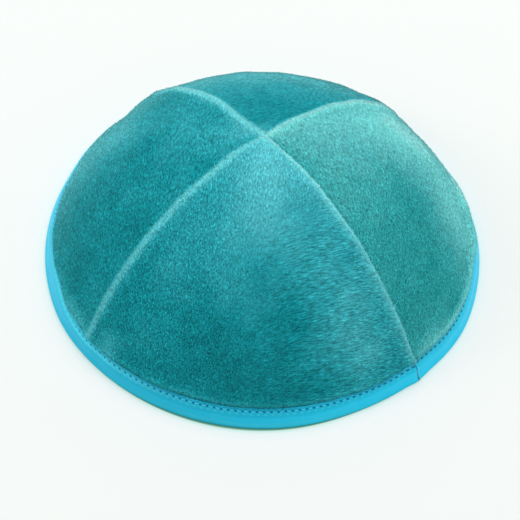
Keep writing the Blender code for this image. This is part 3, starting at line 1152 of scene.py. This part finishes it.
def spot(tree, along, drop, place, length, height):
    """A soft-edged oval mark, from 0 to 1. Sizes are in metres, along and drop in millimetres."""
    across = math(tree, "DIVIDE", math(tree, "SUBTRACT", along, place[0] * 1000), length * 1000)
    down = math(tree, "DIVIDE", math(tree, "SUBTRACT", drop, place[1] * 1000), height * 1000)
    far = math(tree, "ADD", times(tree, across, across), times(tree, down, down))
    return math(tree, "EXPONENT", times(tree, far, -1.0))


def parts_of(tree, name):
    """The three numbers of a stored vector."""
    return node(tree, "ShaderNodeSeparateXYZ", {0: stored(tree, name, "Vector")}).outputs


def binding_material():
    material, tree, shader = new_material("binding_strip", Metallic=0.5, Specular_IOR_Level=0.25)
    place = object_place(tree)
    phase, drop, clear = parts_of(tree, "stitch")
    crease_shadow, contact_shadow, painted_highlight = parts_of(tree, "marks")
    patches = noise(tree, place, size=0.004)
    colour = mixed(tree, patches, *STRIP_COLOURS)
    # Painted shade.
    colour = scaled(tree, colour, math(tree, "SUBTRACT", 1.0, stored(tree, "shade")))
    # Painted highlights on the strip.
    colour = overlaid(tree, colour, painted_highlight, PAINTED_HIGHLIGHT_SHARE, PAINTED_HIGHLIGHT_COLOUR)
    pitch = 2000 * pi * RIM_RADIUS / STITCHES
    share = math(tree, "SUBTRACT", math(tree, "FRACT", phase), 0.5)
    along = times(tree, share, pitch)
    slanted = math(tree, "SUBTRACT", along, times(tree, drop, HOLE_SLANT))
    slanted = times(tree, slanted, stored(tree, "squeeze"))
    # Painted shadow in each needle hole.
    hole = times(tree, clear, spot(tree, slanted, drop, (0, 0), HOLE_LENGTH, HOLE_HEIGHT))
    # Painted glints.
    glint = times(tree, clear, spot(tree, along, drop, GLINT_PLACE, GLINT_LENGTH, GLINT_HEIGHT))
    colour = overlaid(tree, colour, glint, GLINT_SHARE, GLINT_COLOUR)
    painted_shadow = math(tree, "MAXIMUM", hole, times(tree, crease_shadow, CREASE_SHADOW_SHARE))
    painted_shadow = math(tree, "MINIMUM", times(tree, painted_shadow, HOLE_SHADOW_GAIN), HOLE_SHADOW_MOST)
    colour = mixed(tree, painted_shadow, colour, HOLE_SHADOW_COLOUR)
    # Painted contact shadow at the foot.
    colour = overlaid(tree, colour, contact_shadow, FOOT_SHADOW_SHARE, FOOT_SHADOW_COLOUR)
    gloss = math(tree, "MULTIPLY_ADD", patches, GLOSS_CHANGE, GLOSS_LEAST)
    tree.links.new(gloss, shader.inputs["Roughness"])
    grain = noise(tree, place, size=0.0005)
    connect(tree, shader, colour, grain, strength=0.25, distance=0.0001)
    return material


def thread_material():
    material, tree, shader = new_material("thread", Roughness=0.5, Specular_IOR_Level=0.3)
    twist = noise(tree, object_place(tree), size=0.0004)
    connect(tree, shader, mixed(tree, twist, *THREAD_COLOURS))
    return material


def floor_material():
    material, tree, shader = new_material("floor", Roughness=0.9, Specular_IOR_Level=0.1)
    colour = mixed(tree, noise(tree, object_place(tree), size=0.35), *FLOOR_COLOURS)
    # Painted contact shadow round the rim.
    share = math(tree, "DIVIDE", stored(tree, "distance"), CONTACT_SHADOW_REACH)
    factors = {0: colour, 1: ramp(tree, share, CONTACT_SHADOW_COLOURS)}
    connect(tree, shader, node(tree, "ShaderNodeVectorMath", factors, operation="MULTIPLY").outputs[0])
    return material


def build_floor(material):
    """A wide disc whose rings follow the rim, so that its material can read the distance from it for the
    painted contact shadow.
    """
    azimuth = np.arange(FLOOR_STATIONS) * 2 * pi / FLOOR_STATIONS
    distances = np.array(FLOOR_RINGS)[:, None]
    reach = RIM_RADIUS + outward(azimuth, 0.0) + distances
    points = np.stack([reach * np.cos(azimuth), reach * np.sin(azimuth), 0 * reach], axis=-1)
    index = np.arange(reach.size).reshape(reach.shape)
    faces = quads_of(index, (0, 1)).tolist() + [index[0].tolist()]
    mesh = bpy.data.meshes.new("floor")
    mesh.from_pydata(points.reshape(-1, 3), [], faces)
    mesh.materials.append(material)
    # The painted contact shadow starts fainter away from the front.
    skipped = FAINT_START * CONTACT_SHADOW_REACH * (1 - beside(azimuth, CONTACT_SHADOW_AZIMUTH, CONTACT_SHADOW_SPREAD))
    set_values(mesh, {"distance": (distances + skipped).ravel()})
    floor = linked("floor", mesh)


def put(name, data, axes, place):
    """Adds an object at a place, with its own three axes along these directions."""
    matrix = Matrix.Identity(4)
    for column, vector in enumerate((*axes, place)):
        for row in range(3):
            matrix[row][column] = vector[row]
    thing = linked(name, data)
    thing.matrix_world = matrix
    return thing


def add_camera():
    back = np.array([0, -cos(CAMERA_ELEVATION), sin(CAMERA_ELEVATION)])
    up = np.array([0, sin(CAMERA_ELEVATION), cos(CAMERA_ELEVATION)])
    right = np.array([1.0, 0, 0])
    place = RIM_RADIUS * (back * CAMERA_DISTANCE + right * CAMERA_SIDE + up * CAMERA_RISE)
    turned_right = cos(CAMERA_ROLL) * right + sin(CAMERA_ROLL) * up
    turned_up = -sin(CAMERA_ROLL) * right + cos(CAMERA_ROLL) * up
    data = bpy.data.cameras.new("camera")
    data.lens = CAMERA_LENS
    data.sensor_width = SENSOR
    data.clip_start = 0.01
    data.clip_end = 50
    bpy.context.scene.camera = put("camera", data, (turned_right, turned_up, back), place)


def add_light(name, azimuth, elevation, distance, size, power, colour):
    """A square soft light that shines at the cap. Azimuth is counted round +Z, in degrees."""
    data = bpy.data.lights.new(name, "AREA")
    data.shape = "SQUARE"
    data.size = size
    data.energy = power
    data.color = colour
    turn, lift = radians(azimuth), radians(elevation)
    back = np.array([cos(turn) * cos(lift), sin(turn) * cos(lift), sin(lift)])
    side = unit(np.cross((0, 0, 1.0), back))
    put(name, data, (side, np.cross(back, side), back), back * distance)


def add_world():
    world = bpy.data.worlds.new("world")
    world.use_nodes = True
    background = world.node_tree.nodes["Background"]
    background.inputs["Color"].default_value = WORLD_COLOUR
    background.inputs["Strength"].default_value = WORLD_STRENGTH
    bpy.context.scene.world = world


def main():
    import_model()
    bpy.context.scene.view_settings.view_transform = "Standard"
    add_camera()
    add_world()
    for row in LIGHTS:
        add_light(*row)
    build_floor(floor_material())
    velvet = velvet_material()
    backing = backing_material()
    for number, side in enumerate(GORE_SIDES):
        build_gore(number, side, velvet, backing)
        build_pile(number, side, velvet)
    build_binding(binding_material())
    build_stitches(thread_material())


main()
